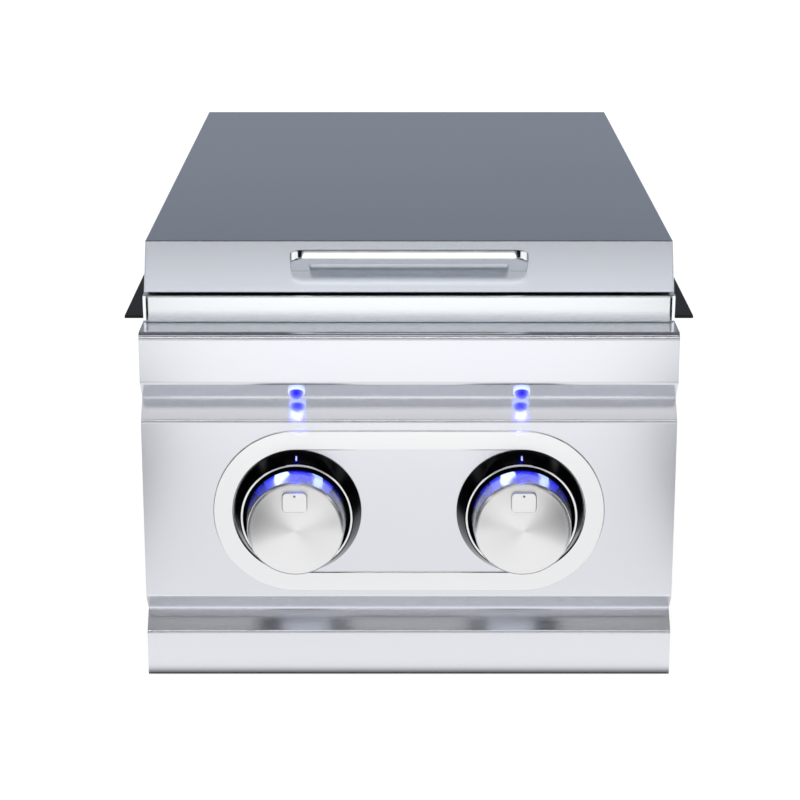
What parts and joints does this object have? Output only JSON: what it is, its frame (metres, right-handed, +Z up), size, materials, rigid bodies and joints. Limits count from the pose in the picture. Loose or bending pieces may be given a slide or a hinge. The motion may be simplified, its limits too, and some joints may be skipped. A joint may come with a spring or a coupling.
{
  "type": "built in side burner",
  "caption": "Drop-in outdoor kitchen side burner: hinged stainless lid with chrome bridge handle, folded control panel with lit push-and-turn gas knobs, grates, tray and burners.",
  "frame": {"origin": "on the floor under the middle of the overall width and depth", "axes": "+Z up, +Y from the control panel to the lid's hinges, +X to the right seen from the front"},
  "size_m": [0.371, 0.6384, 0.2834],
  "materials": {
    "panel_steel": "satin brushed stainless, grain side to side",
    "lid_steel": "satin brushed stainless",
    "rim_steel": "satin brushed stainless",
    "box_steel": "mill finish sheet",
    "rail_steel": "satin black",
    "tray_steel": "mill finish stainless",
    "handle_chrome": "polished",
    "knob_metal": "satin plated zinc, polished side",
    "bezel_chrome": "mirror polished",
    "lamp_chrome": "polished",
    "lamp_blue": "clear blue, lit",
    "valve_metal": "die cast",
    "brass": "machined",
    "stem_steel": "turned",
    "spring_steel": "bright wire",
    "pipe_steel": "zinc plated",
    "tube_steel": "mill finish tube",
    "casting": "as cast",
    "grate_iron": "matt black enamel",
    "ceramic": "glazed white ceramic",
    "rubber": "matt silicone",
    "screw_steel": "bright zinc"
  },
  "bodies": {
    "root": {"bezel_left": "bezel_chrome", "bezel_right": "bezel_chrome", "burner_bowl_front": "casting", "burner_bowl_rear": "casting", "burner_box": "box_steel", "burner_cap_front": "brass", "burner_cap_rear": "brass", "control_panel": "panel_steel", "cooking_grate_front": "grate_iron", "cooking_grate_rear": "grate_iron", "electrode_straps": "screw_steel", "gas_injector_left": "brass", "gas_injector_right": "brass", "gas_inlet": "brass", "gas_manifold": "pipe_steel", "hanger_rail_left": "rail_steel", "hanger_rail_right": "rail_steel", "heat_partition": "box_steel", "hinge_base_left": "screw_steel", "hinge_base_right": "screw_steel", "hinge_pin_left": "stem_steel", "hinge_pin_right": "stem_steel", "lamp_holder_left": "lamp_chrome", "lamp_holder_right": "lamp_chrome", "lamp_lens_left": "lamp_blue", "lamp_lens_right": "lamp_blue", "lid_bumpers": "rubber", "machine_screws": "screw_steel", "manifold_bracket_left": "box_steel", "manifold_bracket_right": "box_steel", "manifold_cap": "pipe_steel", "mixing_tube_front": "tube_steel", "mixing_tube_rear": "tube_steel", "panel_end_left": "panel_steel", "panel_end_right": "panel_steel", "pipe_grommet": "rubber", "spark_electrode_front": "ceramic", "spark_electrode_rear": "ceramic", "spill_tray": "tray_steel", "top_frame": "rim_steel", "valve_body_left": "valve_metal", "valve_body_right": "valve_metal", "valve_bonnet_left": "valve_metal", "valve_bonnet_right": "valve_metal"},
    "lid": {"lid_shell": "lid_steel", "lid_handle": "handle_chrome", "handle_screws": "screw_steel", "hinge_leaf_left": "screw_steel", "hinge_leaf_right": "screw_steel"},
    "plug_left": {"valve_plug_left": "brass", "stem_spring_left": "spring_steel"},
    "knob_left": {"knob_left": "knob_metal", "valve_stem_left": "stem_steel"},
    "plug_right": {"valve_plug_right": "brass", "stem_spring_right": "spring_steel"},
    "knob_right": {"knob_right": "knob_metal", "valve_stem_right": "stem_steel"},
    "shutter_front": {"air_shutter_front": "tube_steel"},
    "shutter_rear": {"air_shutter_rear": "tube_steel"}
  },
  "joints": [
    {"name": "lid_hinge", "type": "hinge", "parent": "root", "child": "lid", "pos_m": [0, 0.29925, 0.2544], "axis": [-1, 0, 0], "range_deg": [0, 95]},
    {"name": "turn_left", "type": "hinge", "parent": "root", "child": "plug_left", "pos_m": [-0.072, -0.24325, 0.1136], "axis": [0, -1, 0], "range_deg": [0, 215]},
    {"name": "push_left", "type": "slide", "parent": "plug_left", "child": "knob_left", "axis": [0, 1, 0], "range_m": [0, 0.0035], "stiffness_N_per_m": 1500, "springref_m": -0.001, "deforming": ["stem_spring_left"]},
    {"name": "turn_right", "type": "hinge", "parent": "root", "child": "plug_right", "pos_m": [0.072, -0.24325, 0.1136], "axis": [0, -1, 0], "range_deg": [0, 215]},
    {"name": "push_right", "type": "slide", "parent": "plug_right", "child": "knob_right", "axis": [0, 1, 0], "range_m": [0, 0.0035], "stiffness_N_per_m": 1500, "springref_m": -0.001, "deforming": ["stem_spring_right"]},
    {"name": "shutter_front_turn", "type": "hinge", "parent": "root", "child": "shutter_front", "pos_m": [-0.072, -0.20475, 0.1136], "axis": [0, 1, 0], "range_deg": [0, 60]},
    {"name": "shutter_rear_turn", "type": "hinge", "parent": "root", "child": "shutter_rear", "pos_m": [0.072, -0.20475, 0.1136], "axis": [0, 1, 0], "range_deg": [0, 60]}
  ]
}
